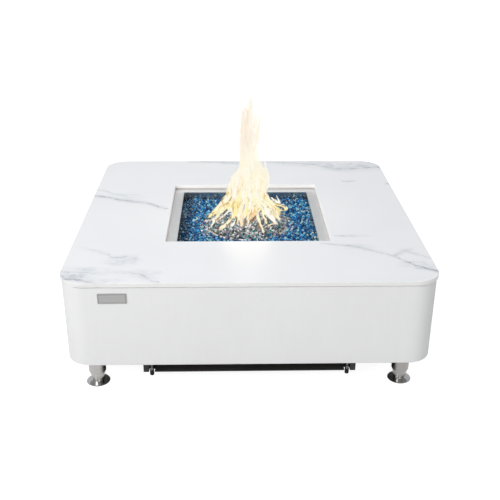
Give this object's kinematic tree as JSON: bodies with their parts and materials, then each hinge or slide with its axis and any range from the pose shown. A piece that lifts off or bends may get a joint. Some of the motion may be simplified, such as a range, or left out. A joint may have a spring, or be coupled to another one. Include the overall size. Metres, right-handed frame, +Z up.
{
  "type": "gas fire pit table",
  "caption": "Low square gas fire table: marble-look stone top on a rounded concrete body, sunken burner bowl with blue glass, adjustable steel feet.",
  "frame": {"origin": "on the floor, under the middle of the square tabletop", "axes": "+Z up, +X to the right seen from the front, +Y to the rear; the nameplate is on the front (-Y) and the controls are on the rear (+Y)"},
  "size_m": [1.067, 1.067, 0.368],
  "materials": {
    "sintered_stone": "satin honed sintered stone, white with grey marble veins",
    "silicone_pad": "clear-grey silicone",
    "glass_fibre_tape": "woven glass-fibre tape",
    "cast_concrete": "smooth fine-grained cast concrete, sealed white",
    "painted_frame": "satin grey paint",
    "zinc_fastener": "zinc plated",
    "nylon_plug": "moulded nylon",
    "brushed_stainless": "brushed stainless sheet",
    "stainless_screw": "stainless",
    "burner_stainless": "stainless, slightly heat-tinted",
    "brass_fitting": "machined brass",
    "feed_pipe": "drawn aluminium tube",
    "white_ceramic": "glazed alumina",
    "black_rubber": "matte rubber",
    "silicone_lead": "silicone insulation",
    "copper_lead": "bare copper capillary",
    "blue_glass": "crushed tempered glass",
    "valve_alloy": "die-cast alloy",
    "black_knob": "heat-resistant plastic",
    "igniter_button": "gloss plastic",
    "black_powder_coat": "fine-textured black powder coat",
    "leg_stainless": "brushed stainless tube",
    "polished_stainless": "polished stainless",
    "nameplate_metal": "brushed, bare"
  },
  "bodies": {
    "table": {"tabletop_slab": "sintered_stone", "slab_pads": "silicone_pad", "beam_pads": "silicone_pad", "opening_gasket": "glass_fibre_tape", "body_shell": "cast_concrete", "shell_inserts": "brass_fitting", "support_frame": "painted_frame", "support_frame_screws": "zinc_fastener", "top_frame": "painted_frame", "top_frame_bolts": "zinc_fastener", "leg_screws": "zinc_fastener", "leg_plugs": "nylon_plug", "burner_pan": "brushed_stainless", "pan_screws": "stainless_screw", "ring_burner": "burner_stainless", "burner_nipple": "zinc_fastener", "pan_locknuts": "zinc_fastener", "air_mixer": "brass_fitting", "orifice_elbow": "brass_fitting", "burner_feed_pipe": "feed_pipe", "igniter_bracket": "burner_stainless", "spark_electrode": "white_ceramic", "thermocouple": "burner_stainless", "lead_grommet": "black_rubber", "ignition_lead": "silicone_lead", "thermocouple_lead": "copper_lead", "fire_glass": "blue_glass", "control_box": "brushed_stainless", "control_box_screws": "stainless_screw", "gas_valve": "valve_alloy", "igniter_body": "black_knob", "panel_nuts": "zinc_fastener", "inlet_bracket": "painted_frame", "inlet_fitting": "brass_fitting", "inlet_nut": "brass_fitting", "inlet_pipe": "feed_pipe", "base_plate": "black_powder_coat", "front_rail": "black_powder_coat", "rear_rail": "black_powder_coat", "side_rail_left": "black_powder_coat", "side_rail_right": "black_powder_coat", "hanging_studs": "zinc_fastener", "stud_nuts": "zinc_fastener", "stud_caps": "black_rubber", "nameplate": "nameplate_metal", "leg_front_left": "leg_stainless", "leg_front_right": "leg_stainless", "leg_rear_left": "leg_stainless", "leg_rear_right": "leg_stainless"},
    "valve_stem": {"valve_stem": "valve_alloy"},
    "control_knob": {"control_knob": "black_knob"},
    "igniter_button": {"igniter_button": "igniter_button"},
    "foot_front_left": {"levelling_foot_front_left": "polished_stainless", "foot_pad_front_left": "black_rubber"},
    "foot_front_right": {"levelling_foot_front_right": "polished_stainless", "foot_pad_front_right": "black_rubber"},
    "foot_rear_left": {"levelling_foot_rear_left": "polished_stainless", "foot_pad_rear_left": "black_rubber"},
    "foot_rear_right": {"levelling_foot_rear_right": "polished_stainless", "foot_pad_rear_right": "black_rubber"}
  },
  "joints": [
    {"name": "foot_front_left_level", "type": "slide", "parent": "table", "child": "foot_front_left", "axis": [0, 0, -1], "range_m": [0, 0.015]},
    {"name": "foot_front_right_level", "type": "slide", "parent": "table", "child": "foot_front_right", "axis": [0, 0, -1], "range_m": [0, 0.015]},
    {"name": "foot_rear_left_level", "type": "slide", "parent": "table", "child": "foot_rear_left", "axis": [0, 0, -1], "range_m": [0, 0.015]},
    {"name": "foot_rear_right_level", "type": "slide", "parent": "table", "child": "foot_rear_right", "axis": [0, 0, -1], "range_m": [0, 0.015]},
    {"name": "knob_push", "type": "slide", "parent": "table", "child": "valve_stem", "axis": [0, -1, 0], "range_m": [0, 0.004], "stiffness_N_per_m": 1500},
    {"name": "knob_turn", "type": "hinge", "parent": "valve_stem", "child": "control_knob", "pos_m": [0.202, 0.5105, 0.228], "axis": [0, 1, 0], "range_deg": [0, 180]},
    {"name": "igniter_press", "type": "slide", "parent": "table", "child": "igniter_button", "axis": [0, -1, 0], "range_m": [0, 0.005], "stiffness_N_per_m": 800}
  ]
}
